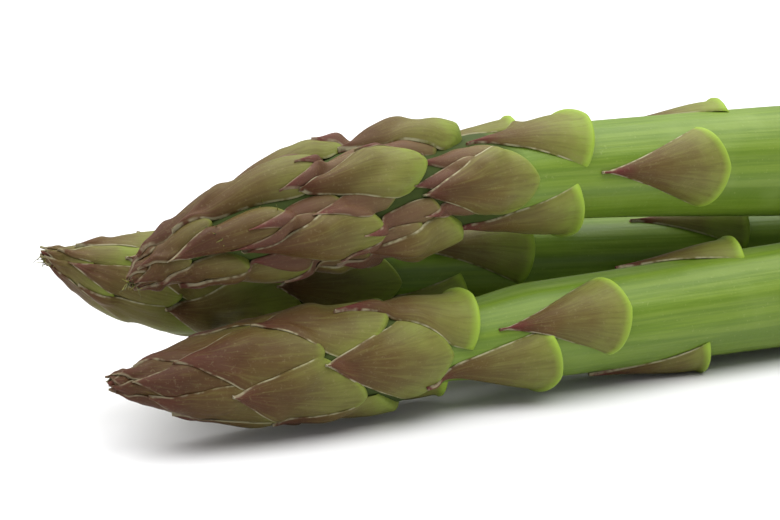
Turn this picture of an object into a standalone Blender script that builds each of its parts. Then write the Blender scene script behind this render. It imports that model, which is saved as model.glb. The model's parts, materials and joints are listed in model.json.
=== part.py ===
"""A bundle of three green asparagus spears, lying side by side with one on top.

Each spear is a stem, a shoot tip and the scale leaves that grow in a spiral up the
stem. The spears lie along X with their tips towards -X and their cut ends towards +X.
"""

import math
import random

import bmesh
import bpy
import numpy as np
from mathutils import Vector

MM = 0.001
GAP = 0.3 * MM  # clearance between two pieces that touch on the plant

# Each spear's centre line, from the tip to the cut end, in millimetres.
CENTRE_LINES = {
    "front": ((13.4, 0.0, 8.8), (17, 0.0, 8.3), (25, 0.0, 7.8), (40, 0.0, 7.5),
              (60, 0.0, 7.6), (110, 0.2, 7.6), (160, 0.0, 7.7), (212, -0.6, 8.0)),
    "rear": ((12.3, 16.1, 20.6), (16, 16.2, 19.3), (20, 16.3, 17.7), (27, 16.5, 15.6),
             (40, 16.5, 14.1), (68, 16.2, 12.2), (95, 16.0, 10.1), (125, 15.9, 8.3),
             (165, 16.1, 7.6), (206, 16.4, 7.9)),
    "upper": ((17.4, 3.2, 18.4), (21, 3.4, 20.0), (27, 3.7, 22.0), (37, 4.0, 23.9),
              (50, 4.4, 25.3), (66, 5.2, 26.0), (90, 6.2, 25.3), (120, 7.0, 23.8),
              (165, 7.4, 22.8), (218, 7.3, 22.6)),
}

# Stem radius in millimetres, against the distance from the tip in millimetres.
STEM_RADII = {
    "front": ((12.3, 4.0), (20, 4.1), (28, 3.9), (37, 3.9), (46, 4.6), (54, 5.9), (97, 6.7), (199, 7.2)),
    "rear": ((12.3, 4.8), (20, 5.0), (30, 4.7), (42, 5.2), (55, 6.2), (80, 6.6), (196, 6.9)),
    "upper": ((12.3, 4.8), (20, 6.1), (30, 6.2), (42, 5.7), (55, 5.8), (67, 6.2), (97, 7.2), (203, 7.6)),
}

# Radius of the closed shoot tip in millimetres, against the distance from its point.
TIP_RADII = {
    "front": ((0, 0.6), (1.5, 1.4), (3.5, 2.3), (7, 3.2)),
    "rear": ((0, 0.4), (2, 1.4), (5, 2.9), (8, 3.9)),
    "upper": ((0, 0.4), (3, 1.5), (6, 2.6)),
}

# The scale leaves of the head follow the golden angle, and each stands a little
# nearer the tip than the last. A side angle of 0 is the top of the spear and 90
# faces -Y. "first" is the lowest leaf of the head: its distance from the tip in
# millimetres and its side angle in degrees.
GOLDEN_ANGLE = 137.5
CLOSING = 0.935  # each leaf's distance from the tip, over the one below it
HEAD_LEAVES = 9
HEAD_SPIRALS = {
    "front": {"first": (41.8, 86), "turn": -1},
    "rear": {"first": (46, 88), "turn": -1},
    "upper": {"first": (52.5, 85), "turn": 1},
}

# The scale leaves of the stalk, as (distance from the tip, side angle).
STALK_LEAVES = {
    "front": ((44.5, 221), (46.3, 26), (56.3, 124), (61, 274), (66, 64), (81, 168),
              (89, -26), (118, 100), (154, 236)),
    "rear": ((48.5, 225), (51.5, 350), (56, 132), (65, 50), (74.5, 268), (84, 165),
             (101, 15), (128, 240), (160, 75)),
    "upper": ((56, 307), (61, 148), (62.8, 22), (73, 262), (81.5, 88), (89, -42),
              (110, 128), (137, 330), (165, 95)),
}

# Sizes of a scale leaf, in millimetres, at a distance d from the tip.
LEAF_LENGTH = 17
LEAF_LENGTH_AT_TIP = 3.0
LEAF_LENGTH_GROWTH = 0.6
LEAF_BASE_THICKNESS = 0.75
LEAF_TIP_THICKNESS = 0.5
HALF_WIDTH_AT_TIP = 1.2
HALF_WIDTH_GROWTH = 0.16
HALF_WIDTHS = {  # in the head, and on the stalk
    "front": (4.8, 5.6),
    "rear": (5.0, 5.6),
    "upper": (4.7, 6.0),
}
LEAF_SHOULDER = 0.28  # where a leaf is widest, as a share of its length
LEAF_FOOT = 0.72  # width of its foot, as a share of its widest
LEAF_POINT = 0.09  # width of its blunt point
LEAF_ROWS = 5
LEAF_COLUMNS = 6
ANGLE_JITTER = 4.0
LENGTH_JITTER = 0.05
SEED = 7

MAP_STEP = 0.5 * MM  # spacing of the height map along the spear
MAP_ANGLES = 120
LAY_SAMPLES = 5  # tests between two points of a leaf, when it is laid
LAY_PASSES = 30
LEAF_MARGIN = 0.35 * MM  # kept clear round a leaf by the leaves that cover it
STEM_SPACING = 6.0 * MM
STEM_SPACING_IN_HEAD = 3.5 * MM
TIP_RINGS = 6

STEM_COLOUR = (0.17, 0.34, 0.055, 1)
TIP_COLOUR = (0.16, 0.09, 0.04, 1)
LEAF_HEAD_COLOUR = (0.15, 0.11, 0.045, 1)
LEAF_STALK_COLOUR = (0.24, 0.2, 0.085, 1)


def clear_scene():
    for obj in list(bpy.data.objects):
        bpy.data.objects.remove(obj, do_unlink=True)


def make_collection(name):
    collection = bpy.data.collections.new(name)
    bpy.context.scene.collection.children.link(collection)
    return collection


def finish(obj, colour, roughness):
    """Gives the object a material of its own."""
    material = bpy.data.materials.new(obj.name + "_finish")
    material.use_nodes = True
    shader = material.node_tree.nodes["Principled BSDF"]
    shader.inputs["Base Color"].default_value = colour
    shader.inputs["Roughness"].default_value = roughness
    shader.inputs["Metallic"].default_value = 0.0
    obj.data.materials.append(material)


def smooth_line(points, per_span=24):
    """Points along the Catmull-Rom curve through the given ones."""
    points = np.array(points, float) * MM
    first = 2 * points[0] - points[1]
    last = 2 * points[-1] - points[-2]
    knots = np.vstack([first, points, last])
    line = []
    for a, b, c, d in zip(knots, knots[1:], knots[2:], knots[3:]):
        for step in range(per_span):
            t = step / per_span
            line.append(0.5 * (2 * b + (c - a) * t + (2 * a - 5 * b + 4 * c - d) * t**2
                               + (3 * b - a - 3 * c + d) * t**3))
    line.append(points[-1])
    return np.array(line)


class Spear:
    """A spear's centre line, and a map of how far out its surface has grown so far."""

    def __init__(self, name):
        self.name = name
        self.line = smooth_line(CENTRE_LINES[name])
        steps = np.linalg.norm(np.diff(self.line, axis=0), axis=1)
        self.distance = np.concatenate([[0], np.cumsum(steps)])
        self.length = float(self.distance[-1])
        self.directions = np.gradient(self.line, self.distance, axis=0)
        self.stations = np.arange(0, self.length, MAP_STEP)
        self.angles = np.arange(MAP_ANGLES) * math.tau / MAP_ANGLES
        radii = [self.radius(station) for station in self.stations]
        self.height = np.repeat(np.array(radii)[:, None], MAP_ANGLES, axis=1)

    def radius(self, station):
        """Radius of the bare stem or shoot tip."""
        table = np.array(TIP_RADII[self.name] + STEM_RADII[self.name], float) * MM
        return float(np.interp(station, table[:, 0], table[:, 1]))

    def centre(self, station):
        return Vector([np.interp(station, self.distance, self.line[:, i]) for i in range(3)])

    def point(self, station, angle, radius):
        """The point at a distance from the tip, a side angle and a radius."""
        along = Vector([np.interp(station, self.distance, self.directions[:, i]) for i in range(3)])
        side = along.cross(Vector((0, 0, 1))).normalized()
        up = side.cross(along).normalized()
        return self.centre(station) + (up * math.cos(angle) + side * math.sin(angle)) * float(radius)

    def turn_from(self, angle):
        """How far each angle of the map lies from this one, from -pi to pi."""
        return (self.angles - angle + math.pi) % math.tau - math.pi

    def highest(self, station, angle):
        """The map's greatest height at a place and one step round it."""
        row = min(int(round(station / MAP_STEP)), len(self.stations) - 1)
        column = int(round(angle / math.tau * MAP_ANGLES))
        rows = range(max(row - 1, 0), min(row + 2, len(self.stations)))
        columns = [(column + step) % MAP_ANGLES for step in (-1, 0, 1)]
        return float(self.height[np.ix_(rows, columns)].max())

    def grow(self, leaf, outer):
        """Raises the map to a leaf's outer surface, with a narrow margin round the leaf."""
        for i, station in enumerate(self.stations):
            if not leaf.base - leaf.length - LEAF_MARGIN <= station <= leaf.base + LEAF_MARGIN:
                continue
            row = min(max((leaf.base - station) / leaf.length, 0), 1)
            across_row = [np.interp(row, leaf.rows, column) for column in np.array(outer).T]
            half = np.interp(row, leaf.rows, leaf.half_angles)
            turn = self.turn_from(leaf.angle)
            inside = np.abs(turn) <= half + LEAF_MARGIN / across_row[0]
            reached = np.interp(turn[inside] / half, leaf.columns, across_row)
            self.height[i, inside] = np.maximum(self.height[i, inside], reached)


class Leaf:
    """Where one scale leaf stands on its spear, and how big it is."""

    def __init__(self, spear, station, angle, half_width, length):
        self.base = station
        self.angle = angle
        self.length = length
        self.rows = np.linspace(0, 1, LEAF_ROWS + 1)
        self.columns = np.linspace(-1, 1, LEAF_COLUMNS + 1)
        self.half_angles = [
            half_width * outline(row) / spear.highest(self.station(row), angle) for row in self.rows
        ]

    def station(self, row):
        return max(self.base - row * self.length, 0.2 * MM)

    def side_angle(self, row, column):
        return self.angle + column * np.interp(row, self.rows, self.half_angles)


def tent_weights(samples, knots):
    """How much each knot counts at each sample of a straight run between knots."""
    return np.array([np.interp(samples, knots, unit) for unit in np.eye(len(knots))]).T


def laid_heights(spear, leaf):
    """Heights of the leaf's inner grid that just clear what the map holds."""
    fine_rows = np.linspace(0, 1, LEAF_ROWS * LAY_SAMPLES + 1)
    fine_columns = np.linspace(-1, 1, LEAF_COLUMNS * LAY_SAMPLES + 1)
    flat_side = [math.cos(half / LEAF_COLUMNS) for half in np.interp(fine_rows, leaf.rows, leaf.half_angles)]
    needed = np.array([
        [(spear.highest(leaf.station(row), leaf.side_angle(row, column)) + GAP) / short
         for column in fine_columns]
        for row, short in zip(fine_rows, flat_side)
    ])
    weights = np.kron(tent_weights(fine_rows, leaf.rows), tent_weights(fine_columns, leaf.columns))
    heights = needed[::LAY_SAMPLES, ::LAY_SAMPLES].ravel()
    for _ in range(LAY_PASSES):
        missing = np.maximum(needed.ravel() - weights @ heights, 0)
        heights = heights + (weights * missing[:, None]).max(axis=0)
    return heights.reshape(len(leaf.rows), len(leaf.columns))


def outline(row):
    """A leaf's half width from its foot (0) to its point (1), as a share of its widest."""
    if row < LEAF_SHOULDER:
        return LEAF_FOOT + (1 - LEAF_FOOT) * math.sin(row / LEAF_SHOULDER * math.pi / 2)
    left = (1 - row) / (1 - LEAF_SHOULDER)
    return max(LEAF_POINT, left**0.85)


def tube(name, spear, stations, collection):
    """A closed tube along the spear whose radius follows the spear's own."""
    curve = bpy.data.curves.new(name, "CURVE")
    curve.dimensions = "3D"
    curve.bevel_depth = MM
    curve.bevel_resolution = 4
    curve.use_fill_caps = True
    spline = curve.splines.new("POLY")
    spline.points.add(len(stations) - 1)
    for point, station in zip(spline.points, stations):
        point.co = (*spear.centre(station), 1)
        point.radius = spear.radius(station) / MM
    obj = bpy.data.objects.new(name, curve)
    collection.objects.link(obj)
    return obj


def make_stem(spear, collection):
    start = STEM_RADII[spear.name][0][0] * MM
    head_end = HEAD_SPIRALS[spear.name]["first"][0] * MM
    head = np.arange(start, head_end, STEM_SPACING_IN_HEAD)
    stalk = np.linspace(head_end, spear.length, round((spear.length - head_end) / STEM_SPACING))
    stem = tube(spear.name + "_stem", spear, [*head, *stalk], collection)
    finish(stem, STEM_COLOUR, 0.42)


def make_tip(spear, collection):
    """The closed shoot tip, just clear of the end of the stem."""
    end = STEM_RADII[spear.name][0][0] * MM - 2 * GAP
    tip = tube(spear.name + "_tip", spear, np.linspace(0, end, TIP_RINGS), collection)
    finish(tip, TIP_COLOUR, 0.5)


def plate(name, inner, outer, collection):
    """A closed leaf from two grids of points, joined round their edges."""
    rows, columns = len(inner), len(inner[0])
    mesh = bpy.data.meshes.new(name)
    bm = bmesh.new()
    low = [[bm.verts.new(point) for point in row] for row in inner]
    high = [[bm.verts.new(point) for point in row] for row in outer]
    for i in range(rows - 1):
        for j in range(columns - 1):
            for grid in (low, high):
                bm.faces.new((grid[i][j], grid[i][j + 1], grid[i + 1][j + 1], grid[i + 1][j]))
    rim = [(0, j) for j in range(columns)]
    rim += [(i, columns - 1) for i in range(1, rows)]
    rim += [(rows - 1, j) for j in range(columns - 2, -1, -1)]
    rim += [(i, 0) for i in range(rows - 2, 0, -1)]
    for (a, b), (c, d) in zip(rim, rim[1:] + rim[:1]):
        bm.faces.new((low[a][b], low[c][d], high[c][d], high[a][b]))
    bmesh.ops.recalc_face_normals(bm, faces=bm.faces)
    bm.to_mesh(mesh)
    bm.free()
    mesh.shade_smooth()
    mesh.set_sharp_from_angle(angle=math.radians(50))
    obj = bpy.data.objects.new(name, mesh)
    collection.objects.link(obj)
    return obj


def make_leaf(spear, leaf, name, colour, collection):
    """A scale leaf laid over everything nearer the tip, then added to the height map."""
    low = laid_heights(spear, leaf)
    thickness = np.linspace(LEAF_BASE_THICKNESS, LEAF_TIP_THICKNESS, LEAF_ROWS + 1) * MM
    high = low + thickness[:, None]
    grids = [
        [[spear.point(leaf.station(row), leaf.side_angle(row, column), height)
          for column, height in zip(leaf.columns, heights)]
         for row, heights in zip(leaf.rows, surface)]
        for surface in (low, high)
    ]
    spear.grow(leaf, high)
    obj = plate(name, *grids, collection)
    finish(obj, colour, 0.5)


def leaf_places(name):
    """(distance from the tip, side angle) of each leaf, from the tip to the cut end."""
    spiral = HEAD_SPIRALS[name]
    station, angle = spiral["first"]
    head = [
        (station * CLOSING**k, angle + spiral["turn"] * k * GOLDEN_ANGLE) for k in range(HEAD_LEAVES)
    ]
    return head[::-1] + list(STALK_LEAVES[name])


def make_leaves(spear, collection, dice):
    in_head, on_stalk = HALF_WIDTHS[spear.name]
    for number, (station, angle) in enumerate(leaf_places(spear.name), start=1):
        is_head = number <= HEAD_LEAVES
        length = min(LEAF_LENGTH, LEAF_LENGTH_AT_TIP + LEAF_LENGTH_GROWTH * station)
        length *= 1 + LENGTH_JITTER * dice.uniform(-1, 1)
        widest = in_head if is_head else on_stalk
        half_width = min(widest, HALF_WIDTH_AT_TIP + HALF_WIDTH_GROWTH * station)
        angle += ANGLE_JITTER * dice.uniform(-1, 1)
        leaf = Leaf(spear, station * MM, math.radians(angle), half_width * MM, length * MM)
        colour = LEAF_HEAD_COLOUR if is_head else LEAF_STALK_COLOUR
        make_leaf(spear, leaf, f"{spear.name}_scale_{number:02d}", colour, collection)


def world_box(objects):
    """Lowest and highest corners of the objects' evaluated meshes."""
    bpy.context.view_layer.update()
    graph = bpy.context.evaluated_depsgraph_get()
    points = []
    for obj in objects:
        evaluated = obj.evaluated_get(graph)
        mesh = evaluated.to_mesh()
        points += [evaluated.matrix_world @ vertex.co for vertex in mesh.vertices]
        evaluated.to_mesh_clear()
    points = np.array(points)
    return Vector(points.min(axis=0)), Vector(points.max(axis=0))


def stand_on_origin(collection):
    """Hangs every piece on one empty, so that the origin is under the bundle's middle."""
    pieces = list(collection.objects)
    low, high = world_box(pieces)
    root = bpy.data.objects.new("bundle_origin", None)
    collection.objects.link(root)
    root.location = (-(low.x + high.x) / 2, -(low.y + high.y) / 2, -low.z)
    for piece in pieces:
        piece.parent = root


def main():
    clear_scene()
    collection = make_collection("asparagus_bundle")
    dice = random.Random(SEED)
    for name in CENTRE_LINES:
        spear = Spear(name)
        make_stem(spear, collection)
        make_tip(spear, collection)
        make_leaves(spear, collection, dice)
    stand_on_origin(collection)


main()
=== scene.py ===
"""Three green asparagus spears lying together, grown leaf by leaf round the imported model."""

import json
import math
import random

import bpy
import numpy as np
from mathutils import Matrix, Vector


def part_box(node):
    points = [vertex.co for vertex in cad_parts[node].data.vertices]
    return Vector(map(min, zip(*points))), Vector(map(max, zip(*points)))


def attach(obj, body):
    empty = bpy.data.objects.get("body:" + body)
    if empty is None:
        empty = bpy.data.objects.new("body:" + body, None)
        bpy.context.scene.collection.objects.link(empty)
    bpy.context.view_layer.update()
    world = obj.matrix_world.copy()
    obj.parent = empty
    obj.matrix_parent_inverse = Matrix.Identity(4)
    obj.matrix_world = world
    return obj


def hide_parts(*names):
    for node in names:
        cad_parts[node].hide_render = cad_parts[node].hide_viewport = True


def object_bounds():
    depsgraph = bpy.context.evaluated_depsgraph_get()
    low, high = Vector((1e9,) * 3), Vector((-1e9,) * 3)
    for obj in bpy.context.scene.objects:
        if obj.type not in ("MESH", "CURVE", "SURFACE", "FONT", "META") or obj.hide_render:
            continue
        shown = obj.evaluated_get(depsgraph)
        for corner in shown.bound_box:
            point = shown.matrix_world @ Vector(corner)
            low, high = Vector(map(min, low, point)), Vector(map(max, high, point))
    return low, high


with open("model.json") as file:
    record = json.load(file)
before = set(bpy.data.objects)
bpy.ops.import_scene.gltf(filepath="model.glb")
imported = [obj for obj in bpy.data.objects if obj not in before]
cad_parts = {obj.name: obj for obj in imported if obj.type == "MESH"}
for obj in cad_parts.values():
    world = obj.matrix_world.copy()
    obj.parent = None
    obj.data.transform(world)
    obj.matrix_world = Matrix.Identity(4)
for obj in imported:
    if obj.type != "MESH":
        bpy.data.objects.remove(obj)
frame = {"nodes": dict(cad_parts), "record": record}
CAD_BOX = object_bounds()

bl_info = {
    "name": "Asparagus bundle",
    "version": (1, 0, 0),
    "blender": (4, 5, 0),
    "location": "3D View > Sidebar > Asparagus",
    "description": "Grows three asparagus spears: stems, tips, scale leaves, buds and frills",
    "category": "Object",
}

MM = 0.001
SPEARS = ("front", "rear", "upper")
GOLDEN_ANGLE = math.radians(137.5)
SEED = 11
YOUNG_BELOW = 36 * MM  # leaves whose foot is nearer the tip than this start to brown
YOUNG_FADE = 24 * MM

# How thick each head grows, as (distance from the tip, radius) in millimetres.
HEAD_RADII = {
    "front": ((0, 0.6), (0.8, 0.95), (2.2, 1.25), (4.2, 2.5), (7.6, 3.9), (11.6, 5.1), (19.6, 6.6), (25, 6.9),
              (31, 6.9), (38, 7.0), (43, 6.7)),
    "rear": ((0, 0.3), (3, 1.6), (5.5, 3.0), (8, 4.2), (12, 5.5), (16, 6.3), (20, 6.6),
             (35, 6.6), (47, 6.4)),
    "upper": ((0, 0.4), (2, 1.3), (4, 2.2), (8, 3.9), (12.5, 5.4), (17, 6.7), (21, 7.3), (25, 7.6),
              (30, 8.2), (36, 8.2), (44, 7.4), (53, 6.7)),
}

# How each spear's head leaves sit. "twist" turns their points round the spear, in degrees, "green"
# and "brown" tint the leaves and the tip, and "fine" is the half width of the tip's leaves: at the
# point, and its growth along the spear.
HABITS = {
    "front": {"style": "pressed", "twist": -20, "green": 0.15, "brown": 1.0, "fine": (0.9, 0.15)},
    "rear": {"style": "pressed", "twist": -8, "green": 0.8, "brown": 0.25, "fine": (0.65, 0.11)},
    "upper": {"style": "plump", "twist": -2, "green": 0.3, "brown": 0.9, "fine": (1.0, 0.115)},
}

# The kinds of leaf. Lengths and heights are in millimetres, for a leaf 17 long.
#   width, reach: breadth and length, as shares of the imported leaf's
#   back: how far the corners of the foot run back, in half widths
#   foot, shoulder: breadth of the foot, and how far up the leaf is widest
#   taper, point: how bluntly it narrows, and how finely it ends
#   thick, thin: thickness at the foot and near the point
#   ridge: swelling along the foot; bulge: how far its middle stands off; hold: edges pressed down
LEAF_KINDS = {
    "pressed": {"width": 1.14, "reach": 1.06, "back": 0.95, "foot": 0.95, "shoulder": 0.2, "taper": 1.4,
                "point": 1.1, "thick": 0.8, "thin": 0.3, "ridge": 0.1, "bulge": 0.35, "hold": 0.85,
                "taut": 10},
    "stalk": {"width": 1.06, "reach": 1.08, "back": 0.34, "foot": 1.0, "shoulder": 0.1, "taper": 1.0,
              "point": 1.3, "thick": 1.5, "thin": 0.35, "ridge": 0.7, "bulge": 0.4, "hold": 0.7,
              "taut": 8},
    "plump": {"width": 0.8, "reach": 1.02, "back": 0.8, "foot": 0.72, "shoulder": 0.28, "taper": 1.4,
              "point": 1.05, "thick": 1.5, "thin": 0.5, "ridge": 0.05, "bulge": 1.2, "hold": 0.35,
              "taut": 14},
    "kite": {"width": 1.0, "reach": 1.02, "back": 0.75, "foot": 0.95, "shoulder": 0.15, "taper": 1.35,
             "point": 1.1, "thick": 1.4, "thin": 0.5, "ridge": 0.15, "bulge": 0.5, "hold": 0.5,
             "taut": 12},
    "bud": {"width": 1.0, "reach": 1.0, "back": 0.5, "foot": 0.7, "shoulder": 0.4, "taper": 1.5,
            "point": 1.25, "thick": 0.9, "thin": 0.25, "ridge": 0.0, "bulge": 0.6, "hold": 0.8,
            "taut": 6},
}

# The bud scales under a plump leaf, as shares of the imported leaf: how far up they stand,
# how far round (in its half widths), their length and their breadth.
BUD_SCALES = ((0.3, 0.5, 0.74, 0.46), (0.26, -0.85, 0.76, 0.5), (0.4, -0.3, 0.74, 0.5))


# ---------------------------------------------------------------- settings


class AsparagusLeafSettings(bpy.types.PropertyGroup):
    """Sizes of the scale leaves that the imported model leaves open."""

    edge: bpy.props.FloatProperty(
        name="Edge thickness", description="Thickness of a scale leaf at its thin margin",
        default=0.11 * MM, unit="LENGTH", precision=5)
    rows: bpy.props.IntProperty(
        name="Rows", description="Faces along a scale leaf", default=44)
    columns: bpy.props.IntProperty(
        name="Columns", description="Faces across a scale leaf", default=26)
    innermost: bpy.props.FloatProperty(
        name="Innermost leaf", description="How near the point the last tip leaf stands",
        default=2.6 * MM, unit="LENGTH", precision=5)
    closing: bpy.props.FloatProperty(
        name="Closing", description="Each tip leaf's distance from the point, over the last one's",
        default=0.935)
    drop: bpy.props.FloatProperty(
        name="Drop", description="Added to each step from one tip leaf to the next",
        default=0.6 * MM, unit="LENGTH", precision=5)


class AsparagusColours(bpy.types.PropertyGroup):
    """Main colours of the plant, as sRGB shares."""

    stalk: bpy.props.FloatVectorProperty(
        name="Stalk", description="Green of the stalk", default=(0.43, 0.52, 0.17),
        subtype="COLOR_GAMMA", size=3)
    stalk_deep: bpy.props.FloatVectorProperty(
        name="Deep stalk", description="Darker green streaks of the stalk", default=(0.35, 0.45, 0.11),
        subtype="COLOR_GAMMA", size=3)
    foot: bpy.props.FloatVectorProperty(
        name="Leaf foot", description="Lime green where a leaf leaves the stalk",
        default=(0.53, 0.63, 0.22), subtype="COLOR_GAMMA", size=3)
    blush: bpy.props.FloatVectorProperty(
        name="Leaf point", description="Purple towards a leaf's point", default=(0.38, 0.15, 0.16),
        subtype="COLOR_GAMMA", size=3)
    margin: bpy.props.FloatVectorProperty(
        name="Leaf edge", description="Pale thin edge of a leaf", default=(0.636, 0.619, 0.499),
        subtype="COLOR_GAMMA", size=3)


class AsparagusStageSettings(bpy.types.PropertyGroup):
    """The floor, the lights and the camera."""

    azimuth: bpy.props.FloatProperty(
        name="Azimuth", description="Turn of the camera round the bundle",
        default=math.radians(-30), subtype="ANGLE")
    elevation: bpy.props.FloatProperty(
        name="Elevation", description="Height angle of the camera",
        default=math.radians(12), subtype="ANGLE")
    distance: bpy.props.FloatProperty(
        name="Distance", description="From the camera to the heads", default=0.25, unit="LENGTH")
    focal_length: bpy.props.FloatProperty(
        name="Focal length", description="Lens, in millimetres", default=100)
    overhead: bpy.props.FloatProperty(
        name="Overhead light", description="Strength of the broad overhead light", default=5.6)
    sky: bpy.props.FloatProperty(
        name="Surroundings", description="Strength of the white surroundings", default=0.45)


# ---------------------------------------------------------------- the spear


def triangles_of(node):
    """A node's triangles, as an array of corners."""
    mesh = frame["nodes"][node].data
    mesh.calc_loop_triangles()
    points = np.empty(len(mesh.vertices) * 3)
    mesh.vertices.foreach_get("co", points)
    corners = np.empty(len(mesh.loop_triangles) * 3, dtype=np.int64)
    mesh.loop_triangles.foreach_get("vertices", corners)
    return points.reshape(-1, 3)[corners.reshape(-1, 3)]


def section(triangles, x):
    """Centre and area of a closed mesh where a plane across X cuts it."""
    ahead = np.roll(triangles, -1, axis=1)
    near, far = triangles[:, :, 0] - x, ahead[:, :, 0] - x
    with np.errstate(divide="ignore", invalid="ignore"):
        crossing = triangles + (near / (near - far))[..., None] * (ahead - triangles)
    start = crossing[(near < 0) & (far >= 0)]
    end = crossing[(near >= 0) & (far < 0)]
    cross = start[:, 1] * end[:, 2] - start[:, 2] * end[:, 1]
    centre = ((start + end) * cross[:, None]).sum(axis=0) / (3 * cross.sum())
    return (x, centre[1], centre[2]), abs(cross.sum()) / 2


def srgb(colour):
    """A linear colour with alpha, from sRGB shares."""
    return (*(c / 12.92 if c <= 0.04045 else ((c + 0.055) / 1.055) ** 2.4 for c in colour), 1.0)


def blurred(field):
    """Each value averaged with its neighbours."""
    padded = np.pad(field, 1, mode="edge")
    sides = padded[:-2, 1:-1] + padded[2:, 1:-1] + padded[1:-1, :-2] + padded[1:-1, 2:]
    return (4 * field + sides) / 8


class Spear:
    """A spear's centre line, core and leaf places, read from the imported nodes."""

    STEP = 0.3 * MM
    TURNS = 180
    POLYGON_AREA = 3.0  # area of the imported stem's twelve-sided section, over its radius squared
    JOINT = 3 * MM  # left out of the centre line, either side of where tip and stem meet

    def __init__(self, name):
        self.name = name
        self.habit = HABITS[name]
        self.read_centre_line()
        self.stations = np.arange(-2 * MM, self.length + 2 * MM, self.STEP)
        self.angles = np.arange(self.TURNS) * math.tau / self.TURNS
        self.core = self.packed_radius(self.stations)
        self.places = self.read_leaf_places()

    def read_centre_line(self):
        tip, stem = f"{self.name}_tip", f"{self.name}_stem"
        x_low, x_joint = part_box(tip)[0][0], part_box(stem)[0][0]
        x_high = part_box(stem)[1][0]
        tip_cuts = np.arange(x_low + 0.8 * MM, x_joint - self.JOINT, 1.2 * MM)
        stem_cuts = np.arange(x_joint + self.JOINT, x_high - 1.5 * MM, 2.1 * MM)
        cuts = [section(triangles_of(tip), x) for x in tip_cuts]
        cuts += [section(triangles_of(stem), x) for x in stem_cuts]
        centres = np.array([centre for centre, _ in cuts])
        share = (centres[:, 0] - x_low) / (x_high - x_low)
        x_line = np.linspace(x_low, x_high, 1200)
        fine = (x_line - x_low) / (x_high - x_low)
        self.line = np.stack(
            [x_line] + [np.polyval(np.polyfit(share, centres[:, i], 8), fine) for i in (1, 2)], axis=1)
        steps = np.linalg.norm(np.diff(self.line, axis=0), axis=1)
        self.distance = np.concatenate([[0], np.cumsum(steps)])
        self.length = float(self.distance[-1])
        along = np.gradient(self.line, self.distance, axis=0)
        self.along = along / np.linalg.norm(along, axis=1)[:, None]
        lean = np.interp(centres[:, 0], x_line, self.along[:, 0])
        self.cut_stations = np.interp(centres[:, 0], x_line, self.distance)
        areas = np.array([area for _, area in cuts])
        self.cut_radii = np.sqrt(areas * lean / self.POLYGON_AREA)

    def packed_radius(self, station):
        return np.interp(station, self.cut_stations, self.cut_radii)

    def frame_at(self, station):
        """Centre, up and side vectors at distances from the tip."""
        station = np.asarray(station, float)
        centre = np.stack([np.interp(station, self.distance, self.line[:, i]) for i in range(3)], axis=-1)
        along = np.stack([np.interp(station, self.distance, self.along[:, i]) for i in range(3)], axis=-1)
        along /= np.linalg.norm(along, axis=-1, keepdims=True)
        beyond = np.minimum(station, 0) + np.maximum(station - self.length, 0)
        centre = centre + along * beyond[..., None]
        side = np.cross(along, (0.0, 0.0, 1.0))
        side /= np.linalg.norm(side, axis=-1, keepdims=True)
        return centre, np.cross(side, along), side

    def points(self, station, angle, radius):
        """World points at distances from the tip, side angles and radii, as arrays."""
        station, angle, radius = np.broadcast_arrays(station, angle, radius)
        centre, up, side = self.frame_at(station)
        return centre + radius[..., None] * (
            up * np.cos(angle)[..., None] + side * np.sin(angle)[..., None])

    def locate(self, points):
        """Distances from the tip, side angles and radii of world points."""
        gaps = np.linalg.norm(points[:, None, :] - self.line[None, :, :], axis=2)
        station = self.distance[gaps.argmin(axis=1)]
        centre, up, side = self.frame_at(station)
        out = points - centre
        across, height = (out * side).sum(axis=1), (out * up).sum(axis=1)
        return station, np.arctan2(across, height), np.hypot(across, height)

    def read_leaf_places(self):
        """(node, base, side angle, length, half width) of each packed leaf, from the tip down."""
        places = []
        for node in sorted(n for n in frame["nodes"] if n.startswith(f"{self.name}_scale_")):
            station, angle, radius = self.locate(triangles_of(node).reshape(-1, 3))
            base, length = station.max(), np.ptp(station)
            foot = angle[station > base - 0.5 * MM]
            middle = math.atan2(np.sin(foot).mean(), np.cos(foot).mean())
            turn = np.abs((angle - middle + math.pi) % math.tau - math.pi)
            girth = self.packed_radius(station)
            broad = (station < base - 0.15 * length) & (station > base - 0.5 * length)
            places.append((node, base, middle, length, (turn * girth)[broad].max() / 1.04))
        return places

    def start_map(self):
        """The height map of the bare core, before any leaf is laid."""
        self.height = np.repeat(self.core[:, None], self.TURNS, axis=1)

    def read_map(self, station, angle):
        """Heights at places, between the map's cells."""
        row = np.clip((station - self.stations[0]) / self.STEP, 0, len(self.stations) - 1.001)
        column = (angle / math.tau * self.TURNS) % self.TURNS
        i, j = row.astype(int), column.astype(int)
        a, b = row - i, column - j
        k = (j + 1) % self.TURNS
        j = j % self.TURNS
        low = self.height[i, j] * (1 - b) + self.height[i, k] * b
        high = self.height[i + 1, j] * (1 - b) + self.height[i + 1, k] * b
        return low * (1 - a) + high * a

    def fit_core(self, passes=4):
        """Thins the core under the head until the laid leaves reach the head's outline."""
        outline = np.array(HEAD_RADII[self.name]) * MM
        in_head = self.stations < outline[-1, 0]
        wanted = np.interp(self.stations, outline[:, 0], outline[:, 1])
        for _ in range(passes):
            self.start_map()
            for leaf in self.all_leaves():
                leaf.lay()
            reached = np.percentile(self.height, 75, axis=1)
            fade = np.clip((outline[-1, 0] - self.stations) / (8 * MM), 0, 1)
            change = (wanted - reached) * fade
            least = wanted * np.interp(self.stations, (0, 4 * MM), (0.75, 0.3))
            self.core = np.maximum(self.core + 0.8 * change, np.minimum(least, self.core))
            kernel = np.hanning(9) / np.hanning(9).sum()
            smooth = np.convolve(np.pad(self.core, 4, mode="edge"), kernel, mode="valid")
            self.core = np.where(in_head, smooth, self.core)
        self.start_map()

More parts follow.
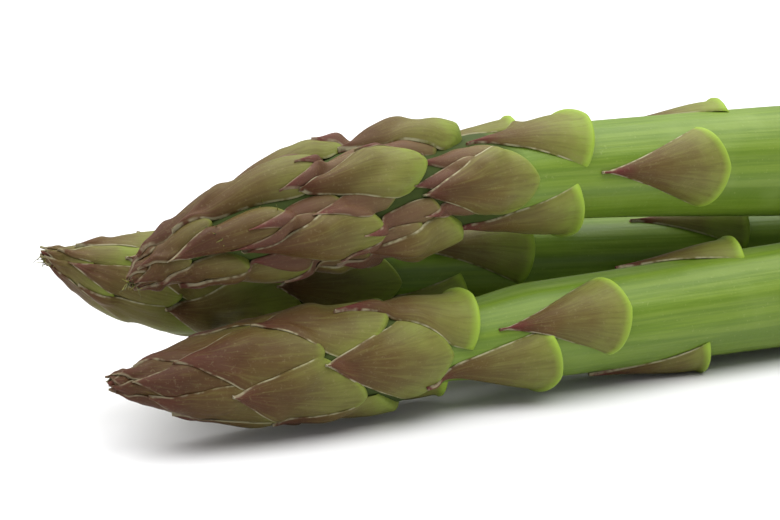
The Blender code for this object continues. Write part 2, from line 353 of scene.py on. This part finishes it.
    def all_leaves(self):
        return [leaf for unit in self.tip_units() + self.packed_units() for leaf in unit]

    def tip_units(self):
        """The fine leaves of the shoot tip, which carry the spiral on to the point."""
        _, base, angle, _, _ = self.places[0]
        step = (angle - self.places[1][2] + math.pi) % math.tau - math.pi
        turn = math.copysign(GOLDEN_ANGLE, step)
        dice = random.Random(SEED)
        sizes = bpy.context.scene.asparagus_leaves
        narrow, growth = self.habit["fine"]
        units, station, number = [], base, 0
        while station > sizes.innermost:
            station = station * sizes.closing - sizes.drop
            number += 1
            length = min(3 * MM + 0.62 * station, station - 0.3 * MM) * dice.uniform(0.93, 1.0)
            half_width = (narrow * MM + growth * station) * dice.uniform(0.92, 1.08)
            side = angle + turn * number + math.radians(dice.uniform(-7, 7))
            units.append(self.unit(None, station, side, length, half_width, dice))
        return units[::-1]

    def packed_units(self):
        dice = random.Random(SEED + 1)
        return [self.unit(*place, dice) for place in self.places]

    def unit(self, node, base, angle, length, half_width, dice):
        """A leaf with the scales of the bud under it, in the order they are laid."""
        on_stalk = node is not None and int(node[-2:]) > 9
        plump = self.habit["style"] == "plump"
        lowest = node is not None and int(node[-2:]) == 9
        kind = "stalk" if on_stalk else "kite" if plump and lowest else self.habit["style"]
        leaf = Leaf(self, node, kind, base, angle, length, half_width, dice)
        if node is None or on_stalk or not plump:
            return [leaf]
        girth = max(self.packed_radius(base - 0.5 * length), 1.5 * MM)
        scales = []
        for up, aside, reach, breadth in BUD_SCALES:
            side = angle + aside * half_width / girth * dice.uniform(0.85, 1.15)
            scales.append(Leaf(self, node, "bud", base - up * length, side,
                               reach * length * dice.uniform(0.93, 1.03), breadth * half_width, dice))
        return [*scales, leaf]


class Leaf:
    """One scale leaf: where it stands, and its surfaces once it is laid."""

    FULL_LENGTH = 17 * MM

    def __init__(self, spear, node, kind, base, angle, length, half_width, dice):
        sizes = bpy.context.scene.asparagus_leaves
        self.spear, self.node, self.kind, self.form = spear, node, kind, LEAF_KINDS[kind]
        self.base, self.angle = base, angle
        self.length = length * self.form["reach"]
        self.half_width = half_width * self.form["width"]
        even = np.linspace(0, 1, sizes.rows + 1)
        self.u = 0.5 * even + 0.5 * (1 - np.cos(math.pi * even)) / 2
        self.v = np.linspace(-1, 1, sizes.columns + 1)
        twist = spear.habit["twist"] * {"pressed": 1, "plump": 1, "kite": 0.8}.get(kind, 0)
        twist *= min(max((48 * MM - base) / (12 * MM), 0.3), 1) if kind == "pressed" else 1
        self.twist = math.radians(twist + 4 * dice.uniform(-1, 1))
        self.tone = dice.random()
        self.swell = dice.uniform(0.85, 1.15)
        self.ripple = dice.uniform(0, math.tau)
        self.back = self.form["back"] * self.half_width * dice.uniform(0.85, 1.15)

    def width(self, u):
        """Half width from foot to point."""
        foot, shoulder = self.form["foot"], self.form["shoulder"]
        rise = 1 - (1 - foot) * (1 - np.clip(u / shoulder, 0, 1)) ** 2
        fall = (1 - np.clip(u, 0, 1) ** self.form["taper"]) ** self.form["point"]
        return self.half_width * np.maximum(rise * fall, 0.03)

    def heel(self, v):
        """How far towards the tip the foot stands at the sides."""
        return self.back * np.abs(v) ** (1.2 if self.kind == "stalk" else 1.35)

    def lay(self):
        """Works out both surfaces over what is already on the spear, and adds them to it."""
        spear, form = self.spear, self.form
        edge = bpy.context.scene.asparagus_leaves.edge
        u, v = self.u[:, None], self.v[None, :]
        station = self.base - self.heel(v) * (1 - u) - u * self.length
        self.middle = self.angle + self.twist * self.u**1.4
        girth = spear.read_map(self.base - self.u * self.length, self.middle)
        for _ in range(8):
            girth = blurred(girth[:, None])[:, 0]
        self.half_angle = np.minimum(self.width(self.u) / np.maximum(girth, 0.8 * MM), 2.0)
        angle = self.middle[:, None] + v * self.half_angle[:, None]
        ground = spear.read_map(station, angle)
        skin = ground.copy()
        for _ in range(form["taut"]):
            skin = np.maximum(ground, blurred(skin))
        hold = np.abs(v) ** 3 * form["hold"]
        skin = skin * (1 - hold) + blurred(blurred(ground)) * hold
        for _ in range(3):
            skin = blurred(skin)
        size = min(self.length / self.FULL_LENGTH, 1)
        across = 1 - np.abs(v) ** 2.4
        rise = 1 - np.exp(-u / 0.022)
        body = form["thin"] + (form["thick"] - form["thin"]) * np.exp(-((u / 0.5) ** 2))
        thick = edge * rise + body * MM * size * self.swell * across * rise
        arch = form["bulge"] * MM * size * self.swell * (1 - v**2) * np.sin(np.pi * u**0.7) ** 1.2
        ridge = form["ridge"] * MM * size * np.exp(-(((u - 0.04) / 0.035) ** 2)) * (1 - np.abs(v) ** 4)
        wave = 0.06 * MM * np.abs(v) ** 4 * np.sin(self.ripple + 7 * u + 2 * v)
        root = -0.35 * MM * np.exp(-u / 0.015)
        self.inner = skin + arch + wave + root + 0.03 * MM
        self.outer = self.inner + thick + ridge
        self.station, self.side = np.broadcast_arrays(station, angle)
        side_edge = (1 - np.abs(v)) * self.width(u)
        self.rim = np.minimum(side_edge, (1 - u) * self.length) / MM
        self.add_to_map()

    def add_to_map(self):
        spear = self.spear
        rows = np.flatnonzero((spear.stations <= self.base) & (spear.stations >= self.base - self.length))
        station = spear.stations[rows][:, None]
        spread = np.arange(spear.TURNS)[None, :] * math.tau / spear.TURNS
        u = np.broadcast_to((self.base - station) / self.length, (len(rows), spear.TURNS))
        for _ in range(12):
            turn = (spread - np.interp(u, self.u, self.middle) + math.pi) % math.tau - math.pi
            v = turn / np.interp(u, self.u, self.half_angle)
            heel = self.heel(np.clip(v, -1, 1))
            u = 0.5 * u + 0.5 * np.clip((self.base - station - heel) / (self.length - heel), 0, 1)
        covered = (np.abs(v) <= 1) & (self.base - station >= heel)
        row = np.interp(u, self.u, np.arange(len(self.u)))
        column = np.interp(v, self.v, np.arange(len(self.v)))
        i, j = np.minimum(row.astype(int), len(self.u) - 2), np.minimum(column.astype(int), len(self.v) - 2)
        a, b = row - i, column - j
        low = self.outer[i, j] * (1 - b) + self.outer[i, j + 1] * b
        high = self.outer[i + 1, j] * (1 - b) + self.outer[i + 1, j + 1] * b
        reached = np.where(covered, low * (1 - a) + high * a, 0)
        spear.height[rows] = np.maximum(spear.height[rows], reached)

    def surfaces(self):
        """Outer and inner grids of world points."""
        return [self.spear.points(self.station, self.side, r) for r in (self.outer, self.inner)]


# ---------------------------------------------------------------- meshes


def grid_faces(rows, columns, first, flipped):
    faces = []
    for i in range(rows - 1):
        for j in range(columns - 1):
            a = first + i * columns + j
            face = (a, a + 1, a + columns + 1, a + columns)
            faces.append(face[::-1] if flipped else face)
    return faces


def shell_data(outer, inner, first=0):
    """Points and faces of a closed sheet between two grids."""
    rows, columns = outer.shape[:2]
    count = rows * columns
    faces = grid_faces(rows, columns, first, False) + grid_faces(rows, columns, first + count, True)
    rim = [(0, j) for j in range(columns)] + [(i, columns - 1) for i in range(1, rows)]
    rim += [(rows - 1, j) for j in range(columns - 2, -1, -1)] + [(i, 0) for i in range(rows - 2, 0, -1)]
    edge = [first + i * columns + j for i, j in rim]
    for a, b in zip(edge, edge[1:] + edge[:1]):
        faces.append((b, a, a + count, b + count))
    return np.concatenate([outer.reshape(-1, 3), inner.reshape(-1, 3)]), faces


def new_piece(name, points, faces, attributes, material, sharp=55):
    """A mesh object that rides with the bundle."""
    mesh = bpy.data.meshes.new(name)
    points[:, 2] = np.maximum(points[:, 2], CAD_BOX[0][2])  # pressed flat where it lies on the table
    mesh.from_pydata(points.tolist(), [], faces)
    for key, values in attributes.items():
        mesh.attributes.new(key, "FLOAT", "POINT").data.foreach_set("value", np.asarray(values, np.float32))
    mesh.validate()
    mesh.shade_smooth()
    mesh.set_sharp_from_angle(angle=math.radians(sharp))
    mesh.materials.append(material)
    piece = bpy.data.objects.new(name, mesh)
    bpy.context.scene.collection.objects.link(piece)
    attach(piece, "root")
    return piece


def thread_data(path, radius, first=0, sides=6):
    """Points and faces of a closed thread that thins towards its end."""
    along = np.gradient(path, axis=0)
    along /= np.linalg.norm(along, axis=1)[:, None]
    side = np.cross(along, (0.3, 0.5, 0.81))
    side /= np.linalg.norm(side, axis=1)[:, None]
    up = np.cross(side, along)
    turn = np.arange(sides) * math.tau / sides
    radii = radius * np.linspace(1, 0.3, len(path))[:, None, None]
    ring = up[:, None] * np.cos(turn)[None, :, None] + side[:, None] * np.sin(turn)[None, :, None]
    points = np.concatenate([(path[:, None] + radii * ring).reshape(-1, 3), path[[0, -1]]])
    rows, end = len(path), first + len(path) * sides
    faces = []
    for j in range(sides):
        k = (j + 1) % sides
        for i in range(rows - 1):
            a = first + i * sides
            faces.append((a + j, a + sides + j, a + sides + k, a + k))
        faces.append((end, first + j, first + k))
        faces.append((end + 1, end - sides + k, end - sides + j))
    return points, faces


def leaf_attributes(leaf):
    """What the leaf paint reads at each point, for both surfaces."""
    shape = leaf.outer.shape
    nearness = min(max((YOUNG_BELOW - leaf.base) / YOUNG_FADE, 0), 1)
    fields = {
        "along": np.broadcast_to(leaf.u[:, None], shape),
        "across": np.broadcast_to(leaf.v[None, :], shape),
        "rim": leaf.rim,
        "tone": np.full(shape, leaf.tone),
        "on_stalk": np.full(shape, float(leaf.kind == "stalk")),
        "flush": np.full(shape, float(leaf.kind == "bud")),
        "green": np.full(shape, leaf.spear.habit["green"]),
        "young": np.full(shape, leaf.spear.habit["brown"] * nearness),
    }
    return {key: np.tile(field.ravel(), 2) for key, field in fields.items()}


def join_leaves(name, leaves, material):
    """One object that holds several closed leaves."""
    points, faces, attributes = [], [], {}
    for leaf in leaves:
        more, quads = shell_data(*leaf.surfaces(), first=sum(len(p) for p in points))
        points.append(more)
        faces += quads
        for key, values in leaf_attributes(leaf).items():
            attributes.setdefault(key, []).append(values)
    attributes = {key: np.concatenate(values) for key, values in attributes.items()}
    return new_piece(name, np.concatenate(points), faces, attributes, material)


# ---------------------------------------------------------------- paint


class Wire:
    """A shader socket. Arithmetic on it adds Math nodes."""

    def __init__(self, paint, socket):
        self.paint, self.socket = paint, socket

    def maths(self, operation, *values):
        return self.paint.node("ShaderNodeMath", {"operation": operation}, dict(enumerate(values)))

    def __add__(self, other):
        return self.maths("ADD", self, other)

    __radd__ = __add__

    def __sub__(self, other):
        return self.maths("SUBTRACT", self, other)

    def __rsub__(self, other):
        return self.maths("SUBTRACT", other, self)

    def __mul__(self, other):
        return self.maths("MULTIPLY", self, other)

    __rmul__ = __mul__

    def above(self, low, high):
        """0 below low, 1 above high, and smooth between."""
        return self.paint.node(
            "ShaderNodeMapRange", {"interpolation_type": "SMOOTHSTEP"},
            {"Value": self, "From Min": low, "From Max": high})


class Paint:
    """Builds one material from nodes."""

    def __init__(self, name):
        self.material = bpy.data.materials.new(name)
        self.material.use_nodes = True
        self.tree = self.material.node_tree
        self.shader = self.tree.nodes["Principled BSDF"]

    def node(self, kind, settings=None, sockets=None, output=0):
        node = self.tree.nodes.new(kind)
        for key, value in (settings or {}).items():
            if key == "stops":
                self.set_stops(node.color_ramp, value)
            else:
                setattr(node, key, value)
        for key, value in (sockets or {}).items():
            self.feed(node.inputs[key], value)
        return Wire(self, node.outputs[output])

    def feed(self, socket, value):
        if isinstance(value, Wire):
            self.tree.links.new(value.socket, socket)
        else:
            socket.default_value = value

    def set_stops(self, ramp, stops):
        ramp.elements[0].position, ramp.elements[0].color = stops[0][0], srgb(stops[0][1])
        ramp.elements[1].position, ramp.elements[1].color = stops[-1][0], srgb(stops[-1][1])
        for position, colour in stops[1:-1]:
            ramp.elements.new(position).color = srgb(colour)

    def attribute(self, name):
        return self.node("ShaderNodeAttribute", {"attribute_name": name}, output="Fac")

    def vector(self, x, y, z):
        return self.node("ShaderNodeCombineXYZ", None, {"X": x, "Y": y, "Z": z})

    def place(self):
        return self.node("ShaderNodeTexCoord", output="Object")

    def noise(self, vector, scale, detail=3.0, roughness=0.55):
        return self.node("ShaderNodeTexNoise", None,
                         {"Vector": vector, "Scale": scale, "Detail": detail, "Roughness": roughness})

    def ramp(self, value, stops):
        return self.node("ShaderNodeValToRGB", {"stops": stops}, {"Fac": value})

    def mix(self, factor, a, b, blend="MIX"):
        a, b = (x if isinstance(x, Wire) else srgb(x) for x in (a, b))
        return self.node("ShaderNodeMix", {"data_type": "RGBA", "blend_type": blend},
                         {0: factor, 6: a, 7: b}, output=2)

    def bump(self, height, distance, strength=1.0):
        return self.node("ShaderNodeBump", None,
                         {"Strength": strength, "Distance": distance, "Height": height})

    def finish(self, colour, roughness, normal=None, **constants):
        self.feed(self.shader.inputs["Base Color"], colour)
        self.feed(self.shader.inputs["Roughness"], roughness)
        if normal is not None:
            self.feed(self.shader.inputs["Normal"], normal)
        for key, value in constants.items():
            self.shader.inputs[key.replace("_", " ")].default_value = value
        return self.material


FLESH = {"Subsurface_Weight": 0.1, "Subsurface_Radius": (0.7, 0.8, 0.25), "Subsurface_Scale": 0.6 * MM}

LEAF_STOPS = ((0.0, (0.46, 0.51, 0.21)), (0.13, (0.43, 0.44, 0.205)), (0.32, (0.39, 0.365, 0.19)),
              (0.55, (0.345, 0.28, 0.145)), (0.8, (0.305, 0.205, 0.125)), (1.0, (0.29, 0.165, 0.12)))


def leaf_paint(name):
    """A scale leaf: lime foot, khaki middle, purple point, pale edge, veins and specks."""
    colours = bpy.context.scene.asparagus_colours
    paint = Paint(name)
    along, across, rim = (paint.attribute(key) for key in ("along", "across", "rim"))
    tone, green, flush = (paint.attribute(key) for key in ("tone", "green", "flush"))
    on_stalk, young = paint.attribute("on_stalk"), paint.attribute("young")
    place = paint.place()
    patches = paint.noise(place, 240.0, 3.0)
    shifted = along + (patches - 0.5) * 0.45 - (green - 0.2) * 0.3 + (tone - 0.5) * 0.2 + young * 0.28
    colour = paint.ramp(shifted, LEAF_STOPS)
    streaks = paint.noise(paint.vector(across * 5.0 + tone * 9.0, along * 1.3, tone * 5.0), 2.6, 4.0, 0.6)
    colour = paint.mix(streaks.above(0.45, 0.7) * 0.3, colour, (0.284, 0.215, 0.12))
    colour = paint.mix((1 - streaks.above(0.3, 0.5)) * 0.3, colour, (0.464, 0.456, 0.241))
    colour = paint.mix(flush * 0.6, colour, (0.378, 0.249, 0.215))
    colour = paint.mix(young * 0.4, colour, (0.24, 0.165, 0.095))
    point = along.above(0.7, 0.96) * (0.16 + flush * 0.3 + on_stalk * 0.6)
    colour = paint.mix(point, colour, tuple(colours.blush))
    specks = paint.noise(place, 2600.0, 2.0, 0.7).above(0.58, 0.72)
    colour = paint.mix(specks * 0.2, colour, (0.533, 0.499, 0.361))
    foot = (1 - along.above(0.035, 0.1)) * (0.2 + on_stalk * 0.8)
    colour = paint.mix(foot, colour, tuple(colours.foot))
    wear = paint.noise(place, 700.0, 2.0)
    edge = (1 - rim.above(0.04, 0.15)) * wear.above(0.35, 0.6) * along.above(0.02, 0.2)
    colour = paint.mix(edge * (0.75 - young * 0.4 - flush * 0.3), colour, tuple(colours.margin))
    veins = paint.noise(paint.vector(across * 22.0 + tone * 3.0, along * 1.2, 0.0), 2.0, 2.0)
    grain = paint.noise(place, 1500.0, 3.0)
    normal = paint.bump(veins * 0.6 + grain * 0.4, 0.12 * MM, 0.6)
    roughness = 0.38 + grain * 0.2 + edge * 0.12
    return paint.finish(colour, roughness, normal, Specular_IOR_Level=0.13, **FLESH)


def stalk_paint():
    """The stalk's waxy skin, green along its length and pale at the cut end, with the core under the head
    darkened by painted shade.
    """
    colours = bpy.context.scene.asparagus_colours
    paint = Paint("stalk_wax")
    along, round_way, cut = (paint.attribute(key) for key in ("along", "round_way", "cut"))
    ring = paint.attribute("ring")
    place = paint.place()
    streaks = paint.noise(paint.vector(along * 5.0, round_way * 14.0, 0.0), 1.6, 4.0, 0.6)
    cloud = paint.noise(place, 90.0, 3.0)
    colour = paint.mix(streaks.above(0.36, 0.64) * 0.75, tuple(colours.stalk_deep), tuple(colours.stalk))
    colour = paint.mix(cloud.above(0.5, 0.75) * 0.3, colour, (0.50, 0.58, 0.30))
    colour = paint.mix(along.above(0.72, 1.0) * 0.75, colour, (0.62, 0.63, 0.39))
    colour = paint.mix(along.above(0.9, 1.0) * 0.3 * cloud, colour, (0.52, 0.35, 0.35))
    specks = paint.noise(place, 2200.0, 2.0, 0.7).above(0.62, 0.74)
    colour = paint.mix(specks * 0.22, colour, (0.60, 0.64, 0.39))
    cells = paint.node("ShaderNodeTexVoronoi", {"feature": "F1"}, {"Vector": place, "Scale": 900.0}, 0)
    flesh = paint.mix(cells.above(0.1, 0.5), (0.46, 0.50, 0.27), (0.67, 0.68, 0.47))
    flesh = paint.mix(ring.above(0.8, 0.97), flesh, (0.40, 0.45, 0.19))
    flesh = paint.mix(paint.noise(place, 500.0, 4.0).above(0.5, 0.7) * 0.5, flesh, (0.59, 0.51, 0.32))
    # painted shade: the core between the head's leaves is mixed towards a dark olive, in place of the shadow
    # deep in the gaps between the leaves
    colour = paint.mix(paint.attribute("in_head") * 0.9, colour, (0.17, 0.21, 0.055))
    colour = paint.mix(paint.attribute("nose"), colour, (0.36, 0.20, 0.15))
    colour = paint.mix(cut, colour, flesh)
    ribs = paint.noise(paint.vector(along * 6.0, round_way * 40.0, 0.0), 1.0, 2.0)
    fibres = cells * cut * 1.5
    normal = paint.bump(ribs * 0.6 + paint.noise(place, 1300.0, 3.0) * 0.4 + fibres, 0.1 * MM, 0.6)
    roughness = 0.34 + cloud * 0.14 + cut * 0.3 + paint.attribute("in_head") * 0.4
    return paint.finish(colour, roughness, normal, Specular_IOR_Level=0.28, **FLESH)


def frill_paint():
    """Dry threads, yellow green to brown."""
    paint = Paint("frill")
    grain = paint.noise(paint.place(), 1400.0, 2.0)
    colour = paint.mix(grain.above(0.35, 0.65), (0.46, 0.45, 0.13), (0.22, 0.21, 0.08))
    return paint.finish(colour, 0.5 + grain * 0.2)


def floor_paint():
    paint = Paint("floor_white")
    grain = paint.noise(paint.place(), 40.0, 3.0)
    colour = paint.mix(grain, (0.85, 0.85, 0.855), (0.86, 0.86, 0.86))
    return paint.finish(colour, 0.6 + grain * 0.05)


# ---------------------------------------------------------------- pieces


GROWN = {}


def grown_spears():
    """The three spears, each with its core fitted, read once from the frame."""
    if not GROWN:
        for name in SPEARS:
            spear = Spear(name)
            spear.fit_core()
            GROWN[name] = spear
    return GROWN


def shared_paint(name, make, *values):
    """The material of this name, made the first time it is asked for."""
    return bpy.data.materials.get(name) or make(*values)


class ASPARAGUS_OT_grow_tips(bpy.types.Operator):
    """Lay the fine leaves of each shoot tip, from the point downwards"""

    bl_idname = "asparagus.grow_tips"
    bl_label = "Grow shoot tips"

    def execute(self, context):
        material = shared_paint("head_leaf", leaf_paint, "head_leaf")
        for spear in grown_spears().values():
            leaves = [leaf for unit in spear.tip_units() for leaf in unit]
            for leaf in leaves:
                leaf.lay()
            piece = join_leaves(f"{spear.name}_tip_leaves", leaves, material)
            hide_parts(f"{spear.name}_tip")
        return {"FINISHED"}


class ASPARAGUS_OT_grow_leaves(bpy.types.Operator):
    """Lay the scale leaves of the heads and stalks, each over those nearer the tip"""

    bl_idname = "asparagus.grow_leaves"
    bl_label = "Grow scale leaves"

    def execute(self, context):
        head = shared_paint("head_leaf", leaf_paint, "head_leaf")
        stalk = shared_paint("stalk_leaf", leaf_paint, "stalk_leaf")
        slots = {entry["node"]: entry["material_slot"] for entry in frame["record"]["subparts"]}
        for spear in grown_spears().values():
            for unit in spear.packed_units():
                for leaf in unit:
                    leaf.lay()
                *scales, bract = unit
                slot = slots[bract.node]
                material = head if slot == "head_scale" else stalk
                piece = join_leaves(bract.node.replace("_scale_", "_leaf_"), [bract], material)
                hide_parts(bract.node)
                if scales:
                    join_leaves(bract.node.replace("_scale_", "_bud_"), scales, material)
        return {"FINISHED"}


class ASPARAGUS_OT_grow_stems(bpy.types.Operator):
    """Make the stalks, each with the core of its head and a cut end"""

    bl_idname = "asparagus.grow_stems"
    bl_label = "Grow stems"

    SIDES = 72
    RING_SPACING = 1.0 * MM
    CAP_RINGS = 6
    NOSE = 2.5 * MM  # the length over which the core's end is rounded
    NOSE_RINGS = (0.25 * MM, 0.5 * MM)
    HEAD_FADE = 3  # millimetres over which the painted shade on the head's dark core fades to stalk green
    HEAD_SHORT = 4  # how far short of the head's end that starts

    def execute(self, context):
        material = shared_paint("stalk_wax", stalk_paint)
        for spear in grown_spears().values():
            self.make_stem(spear, material)
        return {"FINISHED"}

    def make_stem(self, spear, material):
        dice = random.Random(SEED + 5)
        even = np.arange(1.0 * MM, spear.length - 0.4 * MM, self.RING_SPACING)
        stations = np.concatenate([self.NOSE_RINGS, even])
        angles = np.linspace(0, math.tau, self.SIDES, endpoint=False)
        rounding = np.sqrt(np.minimum(stations / self.NOSE, 1))
        core = (rounding * np.interp(stations, spear.stations, spear.core))[:, None]
        s, a = stations[:, None], angles[None, :]
        ribs = sum(
            dice.uniform(0.02, 0.06) * np.cos(a * dice.choice((5, 7, 9, 13)) + dice.uniform(0, 6) + s * 12)
            for _ in range(4))
        waves = 0.12 * np.sin(s * 90 + dice.uniform(0, 6)) * np.cos(a * 2 + s * 25 + dice.uniform(0, 6))
        radii = core + (ribs + waves) * MM * np.clip(s / (40 * MM), 0, 1)
        wall = spear.points(s, a, radii)
        rings, flags, shares = [wall], [np.zeros(wall.shape[:2])], [np.ones(wall.shape[:2])]
        end = spear.length
        for k in range(1, self.CAP_RINGS + 1):
            share = 1 - k / (self.CAP_RINGS + 1)
            ripple = 0.12 * MM * np.cos(angles * 3 + k)
            dish = end - 0.25 * MM * (1 - share) + ripple * share * (1 - share)
            scale = share if k > 1 else 0.93
            rings.append(spear.points(dish, angles, radii[-1] * scale)[None])
            flags.append(np.ones((1, self.SIDES)))
            shares.append(np.full((1, self.SIDES), scale))
        grid = np.concatenate(rings)
        rows = len(grid)
        count = rows * self.SIDES
        ends = spear.points(np.array([0.05 * MM, end - 0.3 * MM]), 0.0, 0.0)
        points = np.concatenate([grid.reshape(-1, 3), ends])
        faces = []
        for i in range(rows - 1):
            for j in range(self.SIDES):
                k = (j + 1) % self.SIDES
                a0, b0 = i * self.SIDES, (i + 1) * self.SIDES
                faces.append((a0 + j, a0 + k, b0 + k, b0 + j))
        last = (rows - 1) * self.SIDES
        for j in range(self.SIDES):
            k = (j + 1) % self.SIDES
            faces.append((count, k, j))
            faces.append((last + j, last + k, count + 1))
        capped = np.full((rows - len(stations)) * self.SIDES, end)
        along = np.concatenate([np.repeat(stations, self.SIDES), capped])
        turn = np.minimum(angles, math.tau - angles) / math.pi
        fade_start = HEAD_RADII[spear.name][-1][0] - self.HEAD_SHORT
        attributes = {
            "along": np.append(along, [0, end]) / spear.length,
            # marks the head's core, which the stalk paint darkens with painted shade and makes rougher
            "in_head": np.append(1 - np.clip((along / MM - fade_start) / self.HEAD_FADE, 0, 1), [1, 0]),
            "nose": np.append(1 - np.clip(along / MM - 2, 0, 1), [1, 0]),
            "round_way": np.append(np.tile(turn, rows), [0, 0]),
            "cut": np.append(np.concatenate([f.ravel() for f in flags]), [0, 1]),
            "ring": np.append(np.concatenate([f.ravel() for f in shares]), [0, 0]),
        }
        piece = new_piece(f"{spear.name}_stalk", points, faces, attributes, material)
        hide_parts(f"{spear.name}_stem")


class ASPARAGUS_OT_grow_frills(bpy.types.Operator):
    """Add the dry curled threads that cling to the tips"""

    bl_idname = "asparagus.grow_frills"
    bl_label = "Grow frills"

    # Per spear: (distance from the tip, side angle, how many, length) in millimetres and degrees.
    TUFTS = {
        "upper": ((0.3, 90, 12, 1.2), (1.0, 130, 8, 1.0), (10.5, 62, 6, 1.0), (17, 60, 3, 0.8)),
        "rear": ((0.8, 170, 6, 1.2), (1.8, 185, 4, 1.0)),
    }

    def execute(self, context):
        material = shared_paint("frill", frill_paint)
        for name, tufts in self.TUFTS.items():
            spear, dice = grown_spears()[name], random.Random(SEED + 9)
            points, faces = [], []
            for station, angle, count, length in tufts:
                for _ in range(count):
                    path = self.path(spear, dice, station * MM, math.radians(angle), length * MM)
                    more, sides = thread_data(path, 0.09 * MM, first=sum(len(p) for p in points))
                    points.append(more)
                    faces += sides
            new_piece(f"{name}_frill", np.concatenate(points), faces, {}, material)
        return {"FINISHED"}

    def path(self, spear, dice, station, angle, length):
        """Points along one thread, which starts just under the leaves and curls away."""
        station += dice.uniform(-0.4, 0.5) * MM
        angle = np.array(angle + dice.uniform(-0.5, 0.5))
        surface = float(spear.read_map(np.array(station), angle)) - 0.1 * MM
        start = spear.points(np.array(station), angle, np.array(surface))
        out = spear.points(np.array(station), angle, np.array(surface + MM)) - start
        heading = out / MM + np.array([dice.uniform(-1.2, 0.1), dice.uniform(-0.6, 0.6), 0])
        heading /= np.linalg.norm(heading)
        curl = np.array([dice.uniform(-1.5, 1.2), dice.uniform(-1.5, 1.5), dice.uniform(-1.6, 1)])
        t = np.linspace(0, 1, 9)[:, None]
        return start + length * dice.uniform(0.5, 1.0) * (t * heading * 0.8 + t**2 * curl * 0.6)


class ASPARAGUS_OT_set_stage(bpy.types.Operator):
    """Lay the floor and set the lights and the camera"""

    bl_idname = "asparagus.set_stage"
    bl_label = "Set the stage"

    FLOOR_SIZE = 6.0
    AIM = (35.7 * MM, 6.05 * MM, 19.4 * MM)  # from the low corner of the bundle's box

    def execute(self, context):
        stage = context.scene.asparagus_stage
        self.make_floor()
        self.make_world(stage)
        aim = Vector(CAD_BOX[0]) + Vector(self.AIM)
        self.make_overhead(stage)
        self.make_camera(context, stage, aim)
        return {"FINISHED"}

    def make_floor(self):
        half = self.FLOOR_SIZE / 2
        mesh = bpy.data.meshes.new("floor")
        corners = [(-half, -half, 0), (half, -half, 0), (half, half, 0), (-half, half, 0)]
        mesh.from_pydata([(x, y, CAD_BOX[0][2]) for x, y, _ in corners], [], [(0, 1, 2, 3)])
        mesh.materials.append(floor_paint())
        floor = bpy.data.objects.new("floor", mesh)
        bpy.context.scene.collection.objects.link(floor)

    def make_world(self, stage):
        world = bpy.data.worlds.new("white_surroundings")
        world.use_nodes = True
        background = world.node_tree.nodes["Background"]
        background.inputs["Color"].default_value = (1, 1, 1, 1)
        background.inputs["Strength"].default_value = stage.sky
        bpy.context.scene.world = world
        bpy.context.scene.view_settings.view_transform = "Standard"

    def make_overhead(self, stage):
        light = bpy.data.lights.new("overhead", "SUN")
        light.energy = stage.overhead
        light.angle = math.radians(95)
        lamp = bpy.data.objects.new("overhead", light)
        lamp.rotation_euler = Vector((0.0, 0.05, 1.0)).to_track_quat("Z", "Y").to_euler()
        bpy.context.scene.collection.objects.link(lamp)

    def make_camera(self, context, stage, aim):
        turn, rise = stage.azimuth, stage.elevation
        back = Vector((math.sin(turn) * math.cos(rise), -math.cos(turn) * math.cos(rise), math.sin(rise)))
        camera = bpy.data.objects.new("camera", bpy.data.cameras.new("camera"))
        camera.data.lens = stage.focal_length
        camera.data.clip_start = 0.005
        camera.location = aim + back * stage.distance
        camera.rotation_euler = (-back).to_track_quat("-Z", "Y").to_euler()
        context.scene.collection.objects.link(camera)
        context.scene.camera = camera


# ---------------------------------------------------------------- add-on


class ASPARAGUS_PT_panel(bpy.types.Panel):
    """Lists the steps that grow the bundle"""

    bl_label = "Asparagus bundle"
    bl_idname = "ASPARAGUS_PT_panel"
    bl_space_type = "VIEW_3D"
    bl_region_type = "UI"
    bl_category = "Asparagus"

    def draw(self, context):
        for group in (context.scene.asparagus_leaves, context.scene.asparagus_colours,
                      context.scene.asparagus_stage):
            box = self.layout.box()
            for key in group.__annotations__:
                box.prop(group, key)
        for step in STEPS:
            self.layout.operator(step.bl_idname)


STEPS = (ASPARAGUS_OT_grow_tips, ASPARAGUS_OT_grow_leaves, ASPARAGUS_OT_grow_stems,
         ASPARAGUS_OT_grow_frills, ASPARAGUS_OT_set_stage)
GROUPS = {
    "asparagus_leaves": AsparagusLeafSettings,
    "asparagus_colours": AsparagusColours,
    "asparagus_stage": AsparagusStageSettings,
}


def register():
    for kind in (*GROUPS.values(), *STEPS, ASPARAGUS_PT_panel):
        bpy.utils.register_class(kind)
    for key, group in GROUPS.items():
        setattr(bpy.types.Scene, key, bpy.props.PointerProperty(type=group))


def unregister():
    for key in GROUPS:
        delattr(bpy.types.Scene, key)
    for kind in (ASPARAGUS_PT_panel, *reversed(STEPS), *GROUPS.values()):
        bpy.utils.unregister_class(kind)


def main():
    register()
    bpy.ops.asparagus.grow_tips()
    bpy.ops.asparagus.grow_leaves()
    bpy.ops.asparagus.grow_stems()
    bpy.ops.asparagus.grow_frills()
    bpy.ops.asparagus.set_stage()


if __name__ == "__main__":
    main()
